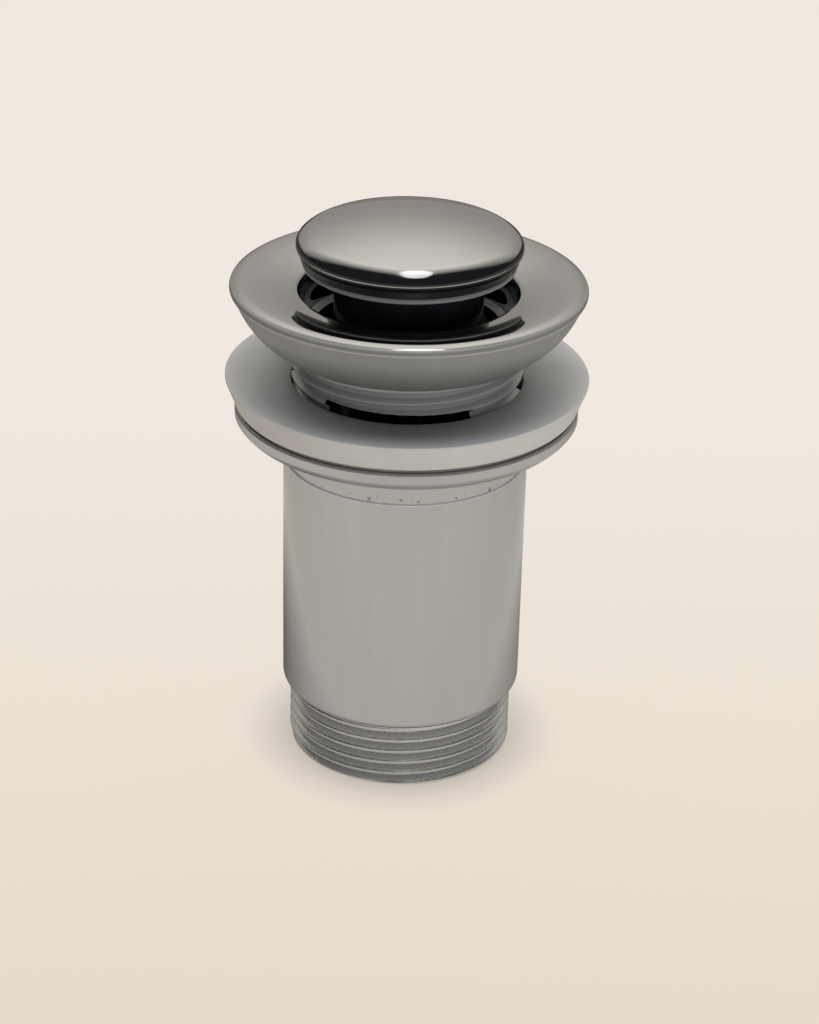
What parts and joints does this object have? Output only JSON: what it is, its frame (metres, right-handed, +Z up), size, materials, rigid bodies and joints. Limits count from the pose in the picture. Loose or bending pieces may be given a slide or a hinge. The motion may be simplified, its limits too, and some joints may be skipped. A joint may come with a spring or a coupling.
{
  "type": "pop up basin waste",
  "caption": "Push-open basin waste: domed plug over a dished flange, slotted threaded shank, pale gasket, clamp collar and smooth tail with an outlet thread.",
  "frame": {"origin": "centre of the outlet end that the waste stands on", "axes": "+Z up along the axis, from the outlet to the plug; -Y towards the camera of the picture"},
  "size_m": [0.0658, 0.0658, 0.1048],
  "materials": {
    "chrome": "polished chrome plate on brass",
    "dark_plastic": "smooth",
    "pale_rubber": "soft, slightly translucent",
    "black_plastic": "moulded, glossy",
    "black_rubber": "smooth",
    "brass": "machined",
    "white_plastic": "moulded",
    "steel": "drawn wire and stamped sheet"
  },
  "bodies": {
    "tail": {"tail_tube": "chrome", "clamp_collar": "chrome"},
    "gasket": {"slip_washer": "dark_plastic", "basin_gasket": "pale_rubber"},
    "waste": {"flange_body": "chrome", "latch_barrel": "black_plastic", "barrel_gasket": "black_rubber", "barrel_nut": "brass", "barrel_cover": "black_plastic", "stem_wiper": "black_rubber", "cam_guide": "white_plastic", "spring_washer": "steel", "return_spring": "steel"},
    "plug": {"plunger": "white_plastic", "lock_washer": "steel", "guide_skirt": "black_plastic", "seal_retainer": "chrome", "plug_seal": "black_rubber", "plug_cap": "chrome", "plug_stud": "brass"},
    "rotor": {"index_rotor": "white_plastic"}
  },
  "joints": [
    {"name": "clamp_turn", "type": "hinge", "parent": "tail", "child": "gasket", "pos_m": [0, 0, 0.07], "axis": [0, 0, 1], "range_deg": [-720, 2880]},
    {"name": "clamp_travel", "type": "slide", "parent": "gasket", "child": "waste", "axis": [0, 0, 1], "range_m": [-0.00462, 0.01848]},
    {"name": "plug_press", "type": "slide", "parent": "waste", "child": "plug", "axis": [0, 0, 1], "range_m": [-0.0065, 0], "stiffness_N_per_m": 900, "springref_m": 0.006, "deforming": ["return_spring"]},
    {"name": "rotor_index", "type": "hinge", "parent": "plug", "child": "rotor", "pos_m": [0, 0, 0.07], "axis": [0, 0, 1], "range_deg": [0, 22.6]}
  ],
  "couplings": [
    {"joint": "clamp_travel", "follows": "clamp_turn", "m_per_rad": 0.00036749},
    {"joint": "rotor_index", "follows": "plug_press", "rad_per_m": -60.415}
  ]
}
